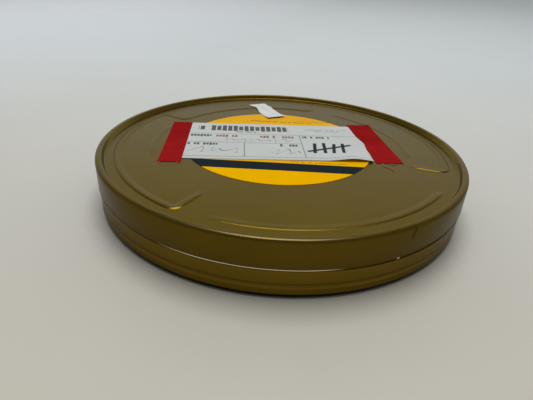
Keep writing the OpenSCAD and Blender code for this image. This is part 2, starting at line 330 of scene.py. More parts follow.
@once("node_groups", "fine grain")
def fine_grain(name):
    """Small unevenness of a painted, printed or moulded face"""
    sizes = {"Size": 1.0, "Blotch": 20.0}
    t, given, out = effect(name, {"Place": None, **sizes}, ["Height", "Speckle", "Cloud"])
    place = given["Place"]
    fine = t.math("DIVIDE", 1.0, given["Size"])
    broad = t.math("DIVIDE", 1.0, given["Blotch"])
    speckle = t.noise(place, t.times(fine, 3.1), 1.0)
    t.fill(out, [t.noise(place, fine, 2.0), speckle, t.noise(place, broad, 4.0, 0.6)])
    return t.tree


@once("node_groups", "print bar")
def print_bar(name):
    """A printed or drawn bar on a flat sheet, in millimetres"""
    sizes = {"Half Length": 1.0, "Half Width": 1.0, "Turn": 0.0, "Soft": 0.08}
    t, given, out = effect(name, {"Place": None, "Middle": None, **sizes}, ["Ink"])
    off = t.vector("SUBTRACT", given["Place"], given["Middle"])
    back = t.times(given["Turn"], -1.0)
    x, y, _ = t.split(t.add("VectorRotate", {0: off, 3: back}, rotation_type="Z_AXIS").outputs[0])
    inside = []
    for value, half in ((x, "Half Length"), (y, "Half Width")):
        room = t.math("SUBTRACT", given[half], t.math("ABSOLUTE", value))
        inside.append(t.math("ADD", t.math("DIVIDE", room, given["Soft"]), 0.5, clamp=True))
    t.fill(out, [t.times(*inside)])
    return t.tree


@once("node_groups", "print blocks")
def print_blocks(name):
    """A line of small unreadable blocks, as far-off print looks, in millimetres"""
    sizes = {"From": 0.0, "To": 1.0, "Line": 0.0, "Height": 1.0, "Block": 1.0, "Gaps": 0.25}
    t, given, out = effect(name, {"Place": None, **sizes}, ["Ink"])
    x, y, _ = t.split(given["Place"])
    cell = t.math("DIVIDE", x, given["Block"])
    number = t.math("ADD", t.math("FLOOR", cell), t.times(given["Line"], 3.7))
    drawn = t.add("TexWhiteNoise", {"W": number}, noise_dimensions="1D").outputs[0]
    tall = t.times(given["Height"], t.math("ADD", t.times(drawn, 0.2), 0.35))
    ink = t.times(
        t.math("GREATER_THAN", drawn, given["Gaps"]),
        t.math("LESS_THAN", t.gap(t.math("FRACT", cell), 0.5), 0.38),
        t.math("LESS_THAN", t.gap(y, given["Line"]), tall),
        t.between(x, given["From"], given["To"]),
    )
    t.fill(out, [ink])
    return t.tree


@once("node_groups", "hand wave")
def hand_wave(name):
    """A wavy stroke that stands for handwriting, in millimetres"""
    sizes = {"From": 0.0, "To": 1.0, "Line": 0.0, "Height": 1.0, "Pitch": 3.0, "Width": 0.3}
    t, given, out = effect(name, {"Place": None, **sizes}, ["Ink"])
    x, y, _ = t.split(given["Place"])
    up = t.math("SUBTRACT", y, given["Line"])
    turns = t.math("DIVIDE", t.math("ADD", x, t.times(up, -0.55)), given["Pitch"])
    swing = t.times(t.math("SINE", t.times(turns, 2.3)), 1.4)
    wave = t.math("SINE", t.math("ADD", t.times(turns, math.tau), swing))
    size = t.math("ADD", t.times(t.math("SINE", t.times(turns, 1.7)), 0.35), 0.65)
    target = t.times(wave, size, given["Height"])
    on = t.math("LESS_THAN", t.gap(up, target), given["Width"])
    t.fill(out, [t.times(on, t.between(x, given["From"], given["To"]))])
    return t.tree


# Materials


class Finish(Tree):
    """A new material with a Principled shader"""

    def __init__(self, name):
        self.made = bpy.data.materials.new(name)
        self.made.use_nodes = True
        super().__init__(self.made.node_tree)

    def grain(self, place, size, blotch):
        """Height, speckle and cloud of a fine grain"""
        return self.group(fine_grain(), (place, size, blotch))

    def done(self, face, rough, height, depth, strength, **others):
        """Gives the shader its colour, roughness, bump and other values"""
        bump = self.add("Bump", {"Height": height, "Distance": depth, "Strength": strength})
        inputs = {"Base Color": face, "Roughness": rough, "Normal": bump.outputs[0]}
        for key, value in others.items():
            inputs[key.replace("_", " ")] = value
        self.fill(self.tree.nodes["Principled BSDF"].inputs, inputs)
        return self.made


@once("materials", "lacquered tin")
def lacquered_tin(name):
    """Gold lacquer on tinplate: rubbed cut edge, painted shade under the lid, painted sheen on the
    rim's crown, a base painted lighter and a brown run
    """
    t = Finish(name)
    can_r, can_top, skirt = CAN_R / MM, CAN_TOP / MM, SKIRT_Z / MM
    place = t.millimetres()
    x, y, z = t.split(place)
    radius = t.radius(x, y)
    front = t.math("LESS_THAN", y, 0.0)
    back = t.math("GREATER_THAN", y, 0.0)
    outside = t.math("GREATER_THAN", radius, can_r - 0.26)
    height, speckle, cloud = t.grain(place, 0.9, 26.0)
    shade = t.mottle(cloud, 0.94, 1.05, speckle, 0.04)
    # The base is painted a shade lighter than the lid: painted light standing in for the floor's
    # bounce light
    shade = t.times(shade, t.ramp(z, skirt - 0.2, skirt - 0.1, 1.35, 1.0))
    lacquer = t.shaded(paint("tin"), shade)
    # Cut edge of the skirt, rubbed bare in front and in patches behind
    hem = t.times(t.math("LESS_THAN", t.gap(z, skirt), 0.42), outside)
    rubbed = t.times(t.ramp(x, -44.0, -32.0), t.ramp(x, 22.0, 14.0))
    spot = t.math("LESS_THAN", t.gap(x, 40.8), 0.5)
    rubbed = t.times(t.math("MAXIMUM", rubbed, spot), front)
    patches = t.times(t.ramp(t.noise(place, 0.09, 3.0), 0.52, 0.6, 0.0, 0.8), back)
    edge = t.times(hem, t.math("MAXIMUM", rubbed, patches))
    # Painted shade on the base just under the lid, standing in for the shadow in the gap, less of it
    # where the edge is rubbed
    below = t.math("SUBTRACT", skirt, z)
    reach = t.math("DIVIDE", below, t.ramp(x, 15.0, 75.0, 0.65, 1.2))
    painted_seam_shade = t.times(
        t.ramp(reach, 1.15, 0.85, 0.0, 0.9),
        t.ramp(below, -0.6, -0.3),
        t.math("LESS_THAN", radius, can_r - 0.28),
        t.ramp(rubbed, 0.0, 1.0, 1.0, 0.4),
    )
    # The same painted shade on the skirt's edge at both sides
    right, left = t.ramp(x, 22.0, 60.0, 0.0, 0.85), t.ramp(x, -55.0, -80.0, 0.0, 0.5)
    painted_seam_shade = t.math("MAXIMUM", painted_seam_shade, t.times(hem, t.math("MAXIMUM", right, left)))
    lacquer = t.mix(painted_seam_shade, lacquer, paint("painted_edge_shade"))
    # Painted sheen: a paler tint on the rim's crown in front, where the lamp's highlight falls, for
    # the clear coat's white reflection
    painted_sheen = t.times(
        t.ramp(z, can_top - 0.5, can_top - 0.2),
        t.ramp(radius, can_r - 1.6, can_r - 1.2),
        t.ramp(t.gap(x, -8.0), 48.0, 24.0),
        t.spread(cloud, 0.7, 1.0),
    )
    lacquer = t.mix(painted_sheen, lacquer, paint("painted_sheen"))
    # Brown run
    side = t.add("CombineXYZ", [x, t.math("SUBTRACT", z, can_top - 4.4), 0.0]).outputs[0]
    run = t.group(print_bar(), (side, (45.3, 1.5, 0), 2.2, 0.3, math.radians(77), 0.6))[0]
    stain = t.times(run, front, outside, 0.9)
    lacquer = t.mix(stain, lacquer, paint("stain"))
    return t.done(
        t.mix(edge, lacquer, paint("bare_tin")),
        t.ramp(cloud, 0.25, 0.75, 0.28, 0.34),
        height,
        0.010 * MM,
        0.6,
        # The painted shade and the stain make the metal dull
        Metallic=t.math("SUBTRACT", 1.0, t.math("MAXIMUM", painted_seam_shade, stain)),
        Specular_IOR_Level=0.0,
        Specular_Tint=(0.65, 0.65, 0.65, 1),
        Coat_Weight=0.05,
        Coat_Roughness=0.12,
    )


# Lines of unreadable print on the label: from, to, line, height, block, gaps
LABEL_PRINT = (
    (-17, 17, 34.8, 1.3, 0.95, 0.2),
    (9, 29, 38.0, 0.7, 0.6, 0.25),
    (2, 31, -20.1, 0.9, 0.8, 0.3),
)


def label_paper():
    """Yellow paper with painted shade towards its back edge, a dark stripe and small print"""
    t = Finish("label paper")
    place = t.millimetres()
    height, speckle, cloud = t.grain(place, 0.5, 15.0)
    _, y, _ = t.split(place)
    # Painted shade: the yellow turns darker and paler towards the back edge
    yellow = t.mix(t.ramp(y, 10.0, 40.0), paint("label"), paint("label_back_shade"))
    face = t.shaded(yellow, t.mottle(cloud, 0.95, 1.03, speckle, 0.02))
    for row in LABEL_PRINT:
        blocks = t.group(print_blocks(), (place, *row))[0]
        face = t.mix(t.times(blocks, 0.7), face, paint("ink"))
    stripe = t.group(print_bar(), (place, (0, -26.0, PANEL_Z / MM), 60.0, 4.1))[0]
    face = t.mix(stripe, face, paint("stripe"))
    rough = t.spread(speckle, 0.42, 0.5)
    return t.done(face, rough, height, 0.006 * MM, 0.5, Specular_IOR_Level=0.0)


# Ruled lines of the slip from its middle: x, y, half length, half width, degrees of turn
SLIP_RULES = (
    (0.0, 8.2, 46.8, 0.16, 0),
    (-16.3, -3.8, 30.5, 0.16, 0),
    (14.2, -6.5, 14.7, 0.17, 90),
    (-14.4, -12.5, 8.7, 0.17, 90),
    (0.0, -21.3, 46.8, 0.17, 0),
)
# Lines of unreadable print on the slip: from, to, line, height, block, gaps, ink
SLIP_PRINT = (
    (-38.3, 9.2, 16.7, 7.6, 2.9, 0.1, "ink"),
    (-20.8, -6.8, 11.3, 1.3, 0.8, 0.2, "ink"),
    (18.5, 40.5, 17.1, 0.9, 0.7, 0.2, "pencil"),
    (22.5, 36.5, 14.9, 0.9, 0.7, 0.2, "pencil"),
    (-41.5, -31.0, 5.3, 3.2, 1.6, 0.12, "ink"),
    (-28.8, -17.5, 5.1, 3.2, 1.6, 0.15, "second_ink"),
    (-8.2, 11.4, 5.0, 3.2, 1.6, 0.22, "second_ink"),
    (-42.0, -27.5, -6.2, 2.9, 1.5, 0.15, "ink"),
    (3.2, 12.0, -6.2, 2.9, 1.5, 0.15, "ink"),
    (15.6, 29.5, 5.7, 2.9, 1.5, 0.2, "ink"),
)
# Pencil waves on the slip: from, to, line, height, pitch, width
SLIP_WAVES = (
    (-24.8, 10.2, 0.0, 2.0, 4.2, 0.36),
    (-41.0, -17.5, -13.6, 3.2, 5.4, 0.42),
    (-1.5, 12.5, -14.4, 3.2, 4.6, 0.42),
)
# Strokes of a tally in thick marker on the slip: x, y, half length, half width, degrees of turn
SLIP_TALLY = (
    (20.0, -8.8, 6.4, 0.85, 83),
    (24.9, -8.3, 6.7, 0.85, 86),
    (29.6, -9.0, 6.3, 0.85, 81),
    (34.4, -8.5, 6.6, 0.85, 85),
    (27.4, -8.6, 12.4, 0.85, 22),
)


def slip_paper():
    """White paper with ruled boxes, unreadable print, pencil waves and a tally"""
    t = Finish("slip paper")
    middle = t.vector("SUBTRACT", t.sheet_map(), (0.5, 0.5, 0.0))
    place = t.vector("MULTIPLY", middle, (SLIP_L / MM, SLIP_H / MM, 1.0))
    height, speckle, cloud = t.grain(place, 0.35, 18.0)
    face = t.shaded(paint("paper"), t.mottle(cloud, 0.96, 1.02, speckle, 0.012))

    def bars(rows, soft):
        total = 0.0
        for x, y, half_l, half_w, turn in rows:
            sizes = half_l, half_w, math.radians(turn), soft
            bar = t.group(print_bar(), (place, (x, y, 0), *sizes))[0]
            total = t.math("MAXIMUM", total, bar)
        return total

    for *row, ink in SLIP_PRINT:
        blocks = t.group(print_blocks(), (place, *row))[0]
        face = t.mix(t.times(blocks, 0.85), face, paint(ink))
    patchy = t.ramp(t.noise(place, 1.3, 2.0), 0.35, 0.6, 0.45, 1.0)
    for row in SLIP_WAVES:
        wave = t.group(hand_wave(), (place, *row))[0]
        face = t.mix(t.times(wave, patchy), face, paint("pencil"))
    face = t.mix(t.times(bars(SLIP_RULES, 0.1), 0.8), face, paint("ink"))
    face = t.mix(bars(SLIP_TALLY, 0.35), face, paint("ink"))
    rough = t.spread(speckle, 0.55, 0.65)
    return t.done(face, rough, height, 0.008 * MM, 0.6, Specular_IOR_Level=0.03)


@once("materials", "red cloth tape")
def cloth_tape(name):
    """Red cloth tape with a fine plain weave that follows the strip, and paler loose threads"""
    t = Finish(name)
    u, v, _ = t.split(t.sheet_map())
    threads = []
    for value, pitch in ((u, 0.42), (v, 0.36)):
        threads.append(t.math("SINE", t.times(value, 1000.0, math.tau / pitch)))
    weave = t.times(*threads)
    height, speckle, cloud = t.grain(t.millimetres(), 0.7, 9.0)
    shade = t.math("ADD", t.spread(cloud, 0.88, 1.10), t.ramp(weave, -1.0, 1.0, -0.05, 0.05))
    shade = t.times(shade, t.ramp(v, -4 * MM, 3 * MM, 1.1, 0.94))
    loose = t.math("LESS_THAN", v, -RED_TAPE_L / 2 - 0.1 * MM)
    face = t.mix(loose, t.shaded(paint("red_tape"), shade), paint("thread"))
    rough = t.spread(speckle, 0.52, 0.64)
    relief = t.math("ADD", t.times(weave, 0.35), height)
    return t.done(face, rough, relief, 0.02 * MM, 0.6, Specular_IOR_Level=0.0)


@once("materials", "white paper tape")
def paper_tape(name):
    """White paper tape with a finely uneven face"""
    t = Finish(name)
    height, speckle, cloud = t.grain(t.millimetres(), 0.45, 7.0)
    face = t.shaded(paint("white_tape"), t.mottle(cloud, 0.93, 1.03, speckle, 0.02))
    return t.done(face, t.spread(speckle, 0.58, 0.7), height, 0.02 * MM, 0.6)


def black_polythene():
    """Thin black film with sharp small folds"""
    t = Finish("black polythene")
    place = t.millimetres()
    height, speckle, cloud = t.grain(place, 3.2, 11.0)
    face = t.shaded(paint("bag"), t.spread(cloud, 0.7, 1.4))
    folds = t.gap(t.noise(place, 0.16, 3.0, 0.55), 0.5)
    relief = t.math("ADD", folds, t.times(height, 0.2))
    return t.done(face, t.spread(speckle, 0.24, 0.38), relief, 0.9 * MM, 0.6)


def wound_film():
    """Film edges as fine rings on the flat faces, and a row of holes round the outer turn"""
    t = Finish("wound film")
    x, y, z = t.split(t.millimetres())
    radius = t.radius(x, y)
    rings = t.add("CombineXYZ", [radius, 0.0, 0.0]).outputs[0]
    turns = t.noise(rings, 3.2, 1.0)
    bands = t.noise(rings, 0.16, 3.0)
    shade = t.math("ADD", t.spread(turns, 0.7, 1.25), t.spread(bands, -0.2, 0.25))
    # Holes along one edge of the outer turn, painted near black as the shade inside them
    roll_r, roll_top = ROLL_HIGH.x / MM, ROLL_HIGH.z / MM
    along = t.math("FRACT", t.times(t.math("ARCTAN2", y, x), roll_r / HOLE_PITCH))
    hole = t.times(
        t.math("LESS_THAN", t.gap(along, 0.5), HOLE_HALF_L / HOLE_PITCH),
        t.math("LESS_THAN", t.gap(z, roll_top - HOLE_IN), HOLE_HALF_H),
        t.math("GREATER_THAN", radius, roll_r - 0.05),
    )
    face = t.mix(hole, t.shaded(paint("film"), shade), HOLE_SHADE)
    relief = t.math("SUBTRACT", turns, t.times(hole, 2.0))
    return t.done(face, t.spread(turns, 0.26, 0.42), relief, 0.06 * MM, 0.7)


def moulded_core():
    """Off-white moulded plastic that lets a little light in"""
    t = Finish("moulded core")
    height, speckle, cloud = t.grain(t.millimetres(), 0.6, 14.0)
    face = t.shaded(paint("core"), t.mottle(cloud, 0.93, 1.04, speckle, 0.015))
    inside = {"Subsurface_Weight": 0.08, "Subsurface_Radius": (0.004, 0.003, 0.002)}
    return t.done(face, t.spread(cloud, 0.4, 0.52), height, 0.01 * MM, 0.5, **inside)


# Meshes


def edges_of(geom):
    return [g for g in geom if isinstance(g, bmesh.types.BMEdge)]


def verts_of(geom):
    return [g for g in geom if isinstance(g, bmesh.types.BMVert)]


def lines_of(bm):
    return [*bm.verts, *bm.edges]


def open_edges(bm, axis, level):
    """Edges with one face that lie at a level of an axis"""
    edges = [e for e in bm.edges if e.is_boundary]
    return [e for e in edges if all(abs(v.co[axis] - level) < MERGE for v in e.verts)]


def heading(angle):
    return Vector((math.cos(angle), math.sin(angle), 0))


def placed(middle, turn):
    """A turn about the upright axis, and then a move"""
    return Matrix.Translation(middle) @ Matrix.Rotation(turn, 4, "Z")


def smooth_step(low, high, value):
    share = min(1.0, max(0.0, (value - low) / (high - low)))
    return share * share * (3 - 2 * share)


def bell(value, width):
    """One at nothing, and falling off over a width to both sides"""
    return math.exp(-((value / width) ** 2))


def spin(bm, geom, centre, angle, steps, axis=UP, merge=False):
    """Sweeps lines or points round an axis and gives the last of them"""
    made = bmesh.ops.spin(
        bm,
        geom=geom,
        cent=centre,
        axis=axis,
        angle=angle,
        steps=steps,
        use_merge=merge,
        use_duplicate=False,
    )
    return made["geom_last"]


def spun(bm, geom, steps):
    """Turns the profile once round the can's axis and closes it"""
    spin(bm, geom, (0, 0, 0), math.tau, steps, merge=True)
    bmesh.ops.remove_doubles(bm, verts=bm.verts, dist=MERGE)


def profile_line(bm, start, *moves):
    """A line in the XZ plane: each move is a point, or a centre, an angle and steps to turn by"""
    tip = bm.verts.new(start)
    for move in moves:
        if len(move) == 2:
            tip = bmesh.ops.extrude_vert_indiv(bm, verts=[tip])["verts"][0]
            tip.co = (move[0], 0, move[1])
        else:
            (x, z), angle, steps = move
            tip = verts_of(spin(bm, [tip], (x, 0, z), angle, steps, axis=(0, -1, 0)))[0]
    return tip


def bead_side(crown_r, foot_r):
    """Width and steepest lean of one side of a bead"""
    total = crown_r + foot_r
    width = math.sqrt(total**2 - (total - BEAD_H) ** 2)
    return width, math.asin(width / total)


class Bead:
    """A pressed bead drawn on the panel: a section that is pushed ahead and turned"""

    BORDER = 0.25 * MM
    STEP = 1.2 * MM
    STEP_DEGREES = 1.25
    CORNER_STEPS = 12
    CAP_STEPS = 14

    def __init__(self, bm, place, angle):
        self.bm, self.place, self.angle = bm, place.copy(), angle
        self.others = set(bm.verts)
        self.start = place.copy(), heading(angle)
        inside, inside_lean = bead_side(*BEAD_INSIDE)
        outside, outside_lean = bead_side(*BEAD_OUTSIDE)
        before = set(lines_of(bm))
        profile_line(
            bm,
            (-inside - self.BORDER, 0, 0),
            (-inside, 0.0),
            ((-inside, BEAD_INSIDE[1]), inside_lean, 4),
            ((0.0, BEAD_H - BEAD_INSIDE[0]), -inside_lean, 5),
            ((0.0, BEAD_H - BEAD_OUTSIDE[0]), -outside_lean, 5),
            ((outside, BEAD_OUTSIDE[1]), outside_lean, 4),
            (outside + self.BORDER, 0.0),
        )
        made = [g for g in lines_of(bm) if g not in before]
        self.front = edges_of(made)
        # The section lies across the heading, with its first end on the left
        bmesh.ops.transform(bm, matrix=placed(self.place, angle - QUARTER), verts=verts_of(made))
        self.cap(left=True)

    def geom(self, edges):
        return list({v for e in edges for v in e.verts}) + list(edges)

    def out(self, left):
        """Heading across the bead to one side"""
        return heading(self.angle + QUARTER) * (1 if left else -1)

    def side(self, left):
        """The half of the front section on one side of its middle"""
        out = self.out(left)
        return [e for e in self.front if sum((v.co - self.place).dot(out) for v in e.verts) > 1e-9]

    def section(self, left):
        """Distances and heights of half the front section, from its crown outwards"""
        verts = {v for e in self.side(left) for v in e.verts}
        return sorted(((v.co - self.place).to_2d().length, v.co.z) for v in verts)

    def cap(self, left):
        """Rounds off an end: half a section turns about the end's middle into the other half"""
        half = self.side(left)
        first, last = self.section(left), self.section(not left)
        old = set(self.bm.verts)
        spin(self.bm, self.geom(half), self.place, math.pi, self.CAP_STEPS)
        out = self.out(left).to_2d()
        for v in set(self.bm.verts) - old:
            off = (v.co - self.place).to_2d()
            if off.length > 1e-7:
                row = min(range(len(first)), key=lambda i: abs(first[i][0] - off.length))
                share = off.angle(out) / math.pi
                reach, high = (a + (b - a) * share for a, b in zip(first[row], last[row]))
                v.co = self.place + (off.normalized() * reach).to_3d()
                v.co.z = high

    def ahead(self, length):
        steps = max(1, round(length / self.STEP))
        step = heading(self.angle) * length / steps
        for _ in range(steps):
            made = bmesh.ops.extrude_edge_only(self.bm, edges=self.front)["geom"]
            new = set(verts_of(made))
            bmesh.ops.translate(self.bm, verts=list(new), vec=step)
            self.front = [e for e in edges_of(made) if e.verts[0] in new and e.verts[1] in new]
            self.place += step

    def turn(self, centre, angle, steps):
        self.front = edges_of(spin(self.bm, self.geom(self.front), centre, angle, steps))
        self.place = centre + Matrix.Rotation(angle, 3, "Z") @ (self.place - centre)
        self.angle += angle

    def corner(self, angle):
        side = heading(self.angle + math.copysign(QUARTER, angle))
        self.turn(self.place + side * BEAD_TURN_R, angle, self.CORNER_STEPS)

    def round(self, angle):
        steps = max(8, round(abs(math.degrees(angle)) / self.STEP_DEGREES))
        self.turn(Vector((0, 0, 0)), angle, steps)

    def end(self):
        """Rounds off the last end and lets both ends run out into the panel"""
        self.cap(left=False)
        for place, inward in (self.start, (self.place, -heading(self.angle))):
            for v in set(self.bm.verts) - self.others:
                off = v.co - place
                if off.length < 2 * BEAD_RUN_OUT:
                    v.co.z *= smooth_step(-1.5 * MM, BEAD_RUN_OUT, off.dot(inward))


def bead_bar(bm, radius, start, end):
    """A bead that stands alone along part of a circle; gives its points"""
    old = set(bm.verts)
    bead = Bead(bm, heading(start) * radius, start + QUARTER)
    bead.round(end - start)
    bead.end()
    return list(set(bm.verts) - old)


def stepped_bead(bm):
    """The long bead: a free leg, an outer arc, a step in to the rear arc, and the same way back"""
    outer = math.asin(BEAD_TURN_R / (OUTER_BEAD_R - BEAD_TURN_R))
    inner = math.asin(BEAD_TURN_R / (INNER_BEAD_R + BEAD_TURN_R))
    leg_top = (OUTER_BEAD_R - BEAD_TURN_R) * math.cos(outer)
    leg_foot = (INNER_BEAD_R + BEAD_TURN_R) * math.cos(inner)
    bead = Bead(bm, heading(FRONT_LEG) * FREE_LEG_R, FRONT_LEG)
    for first, last in ((FREE_LEG_R, leg_foot), (leg_foot, FREE_LEG_R)):
        bead.ahead(leg_top - first)
        bead.corner(QUARTER + outer)
        bead.round(REAR_LEG - FRONT_LEG - 2 * outer)
        bead.corner(QUARTER + outer)
        bead.ahead(leg_top - last)
        if last == leg_foot:
            bead.corner(inner - QUARTER)
            bead.round(math.tau - 2 * REAR_LEG - 2 * inner)
            bead.corner(inner - QUARTER)
    bead.end()


def pressed_lid():
    """The lid's outer face: skirt, raised rim, panel and beads, as one sheet"""
    bm = bmesh.new()
    stepped_bead(bm)
    # The beads that stand alone are lower than the long one
    for arc in (RIGHT_ARC, LEFT_ARC):
        bmesh.ops.scale(bm, verts=bead_bar(bm, INNER_BEAD_R, *arc), vec=(1, 1, SIDE_ARC_H))
    # The front bead rises towards its right end, and its arc has a middle of its own
    front = bead_bar(bm, FRONT_ARC_R, *FRONT_ARC)
    low, high = FRONT_ARC_H
    for v in front:
        v.co.z *= low + (high - low) * smooth_step(0.0, FRONT_ARC_RISE, math.atan2(v.co.y, v.co.x))
    middle = Matrix.Rotation(-BEAD_AXIS, 3, "Z") @ FRONT_ARC_MIDDLE
    bmesh.ops.translate(bm, verts=front, vec=middle)
    bmesh.ops.transform(bm, matrix=placed((0, 0, PANEL_Z), BEAD_AXIS), verts=bm.verts)
    bmesh.ops.remove_doubles(bm, verts=bm.verts, dist=MERGE)
    before = set(lines_of(bm))
    corner_z = CAN_TOP - RIM_CORNER_R
    outer_x = CAN_R - RIM_CORNER_R
    inner_x = outer_x - RIM_FLAT
    # The rim's inner wall leans in towards the panel
    across, down = math.cos(RIM_LEAN), 1 - math.sin(RIM_LEAN)
    wall_top = CAN_TOP - RIM_INNER_R * down
    wall_foot = PANEL_Z + RIM_FOOT_R * down
    wall_x = inner_x - RIM_INNER_R * across - (wall_top - wall_foot) * math.tan(RIM_LEAN)
    foot_x = wall_x - RIM_FOOT_R * across
    corner = QUARTER - RIM_LEAN
    # From the hem up the skirt, over the rim and down to the panel
    profile_line(
        bm,
        (CAN_R - HEM_R, 0, SKIRT_Z),
        ((CAN_R - HEM_R, SKIRT_Z + HEM_R), math.radians(150), 10),
        (CAN_R - 0.12 * MM, SKIRT_Z + 2.3 * HEM_R),
        (CAN_R, SKIRT_Z + 3.6 * HEM_R),
        (CAN_R, corner_z - 0.3 * MM),
        (CAN_R, corner_z),
        ((outer_x, corner_z), QUARTER, 8),
        (inner_x, CAN_TOP),
        ((inner_x, CAN_TOP - RIM_INNER_R), corner, 6),
        (wall_x, wall_foot),
        ((foot_x, PANEL_Z + RIM_FOOT_R), -corner, 5),
        (foot_x - 0.4 * MM, PANEL_Z),
    )
    spun(bm, [g for g in lines_of(bm) if g not in before], LID_STEPS)
    flat = open_edges(bm, 2, PANEL_Z)
    bmesh.ops.triangle_fill(bm, use_beauty=True, use_dissolve=False, edges=flat, normal=UP)
    bmesh.ops.recalc_face_normals(bm, faces=bm.faces)
    top = max(bm.faces, key=lambda f: f.calc_center_median().z)
    if top.normal.z < 0:
        bmesh.ops.reverse_faces(bm, faces=bm.faces)
    return bm


def mesh_of(name, bm, material):
    mesh = bpy.data.meshes.new(name)
    bm.to_mesh(mesh)
    bm.free()
    mesh.materials.append(material)
    return mesh


def linked(name, data):
    """A new object in the scene"""
    made = bpy.data.objects.new(name, data)
    bpy.context.scene.collection.objects.link(made)
    return made


def piece(name, bm, material, body, slot, *nodes):
    """A finished object that rides on a body and stands for CAD nodes"""
    for face in bm.faces:
        face.smooth = True
    made = linked(name, mesh_of(name, bm, material))
    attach(made, body)
    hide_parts(*nodes)
    return made


def dress(node, material):
    """Gives a CAD node that stays in the scene its material"""
    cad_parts[node].data.materials[0] = material


def thicken(made, thickness, offset=-1.0):
    wall = made.modifiers.new("thickness", "SOLIDIFY")
    wall.thickness = thickness
    wall.offset = offset
    wall.use_even_offset = True


def bead_height(gap):
    """Height of a bead's gentle side at a distance from its crown"""
    crown_r, foot_r = BEAD_INSIDE
    width, _ = bead_side(crown_r, foot_r)
    if gap < width * crown_r / (crown_r + foot_r):
        return math.sqrt(crown_r**2 - gap**2) - crown_r + BEAD_H
    if gap < width:
        return foot_r - math.sqrt(foot_r**2 - (width - gap) ** 2)
    return 0.0


def inner_bead_height(x, y):
    """Height of the inner beads above the panel at a point of the lid"""
    angle = (math.atan2(y, x) - BEAD_AXIS) % math.tau
    spot = heading(angle) * math.hypot(x, y)
    gaps = []
    for start, end in (RIGHT_ARC, REAR_ARC, LEFT_ARC):
        crown = heading(min(max(angle, start), end)) * INNER_BEAD_R
        gaps.append((spot - crown).length)
    return bead_height(min(gaps))


def on_slip(x, y):
    """A point of the lid as the slip sees it from its own middle"""
    return Matrix.Rotation(-SLIP_TURN, 3, "Z") @ (Vector((x, y, 0)) - SLIP_MIDDLE)


def slip_end(v):
    """Where the slip's right end lies: its lower corner has come out from under the tape"""
    return SLIP_L / 2 - 1.6 * MM * smooth_step(3 * MM, -SLIP_H / 2, v)


def slip_rise(u, v):
    """Height of the slip above the label: its loose lower edge buckles near the right end"""
    edge = smooth_step(-8 * MM, -SLIP_H / 2, v)
    hump = bell(u - 36 * MM, 8 * MM)
    corner = 0.3 * smooth_step(34 * MM, SLIP_L / 2, u)
    lazy = 0.12 * smooth_step(-30 * MM, 20 * MM, u) * smooth_step(-15 * MM, -SLIP_H / 2, v)
    ripple = 0.03 * MM * (1 + noise.noise(Vector((u, v, 0)) * 60))
    return shapes().slip_lift * (edge * max(hump, corner) + lazy) + ripple


def ground(x, y):
    """Height of the lid and the paper on it, under a tape"""
    level = inner_bead_height(x, y)
    if (Vector((x, y, 0)) - LABEL_MIDDLE).length < LABEL_R:
        level = max(level, PAPER_T)
    u, v, _ = on_slip(x, y)
    if -SLIP_L / 2 < u < slip_end(v) and abs(v) < SLIP_H / 2:
        level = max(level, 2 * PAPER_T + slip_rise(u, v))
    return PANEL_Z + level


def flat_grid(bm, length, width, pitch):
    """A grid in the XY plane with its own map, its length along Y"""
    bm.loops.layers.uv.new("sheet")
    bmesh.ops.create_grid(
        bm,
        x_segments=max(2, round(width / pitch)),
        y_segments=max(2, round(length / pitch)),
        size=0.5,
        matrix=Matrix.Diagonal((width, length, 1, 1)),
        calc_uvs=True,
    )


def fray(bm, low, thread):
    """Draws a loose thread out of a tape's lower edge, along points in millimetres from it"""
    spots = [Vector((x * MM, low + y * MM, 0)) for x, y in thread]
    ends = open_edges(bm, 1, low)
    edge = min(ends, key=lambda e: abs(e.verts[0].co.x + e.verts[1].co.x - 2 * spots[0].x))
    left, right = sorted(edge.verts, key=lambda v: v.co.x)
    for behind, spot in zip(spots, spots[1:]):
        made = bmesh.ops.extrude_edge_only(bm, edges=[edge])["geom"]
        across = right.co - left.co
        left, right = sorted(verts_of(made), key=lambda v: v.co.dot(across))
        edge = bm.edges.get((left, right))
        half = Vector((behind.y - spot.y, spot.x - behind.x, 0)).normalized() * 0.13 * MM
        left.co, right.co = spot - half, spot + half


def real_map(bm):
    """Makes the map's unit a metre, so that a weave has its real size"""
    layer = bm.loops.layers.uv["sheet"]
    for face in bm.faces:
        for loop in face.loops:
            loop[layer].uv = loop.vert.co.xy


def lay_down(bm, rounds):
    """Drops a grid on the lid and draws it smooth over the steps that it crosses"""
    low = {v: ground(v.co.x, v.co.y) + TAPE_GAP for v in bm.verts}
    for v in bm.verts:
        v.co.z = low[v]
    for _ in range(rounds):
        bmesh.ops.smooth_vert(bm, verts=bm.verts, factor=0.5, use_axis_z=True)
        for v in bm.verts:
            v.co.z = max(v.co.z, low[v])


# Steps that build the can


class FILMCAN_OT_tin(bpy.types.Operator):
    """Lacquers the base and builds the pressed lid"""

    bl_idname = "filmcan.tin"
    bl_label = "Lacquered Tin"

    def execute(self, context):
        tin = lacquered_tin()
        dress("can_base", tin)
        thicken(piece("pressed_lid", pressed_lid(), tin, "lid", "tin", "lid"), SHEET_T)
        return {"FINISHED"}


class FILMCAN_OT_label(bpy.types.Operator):
    """Prints the round label"""

    bl_idname = "filmcan.label"
    bl_label = "Round Label"

    def execute(self, context):
        dress("round_label", label_paper())
        return {"FINISHED"}


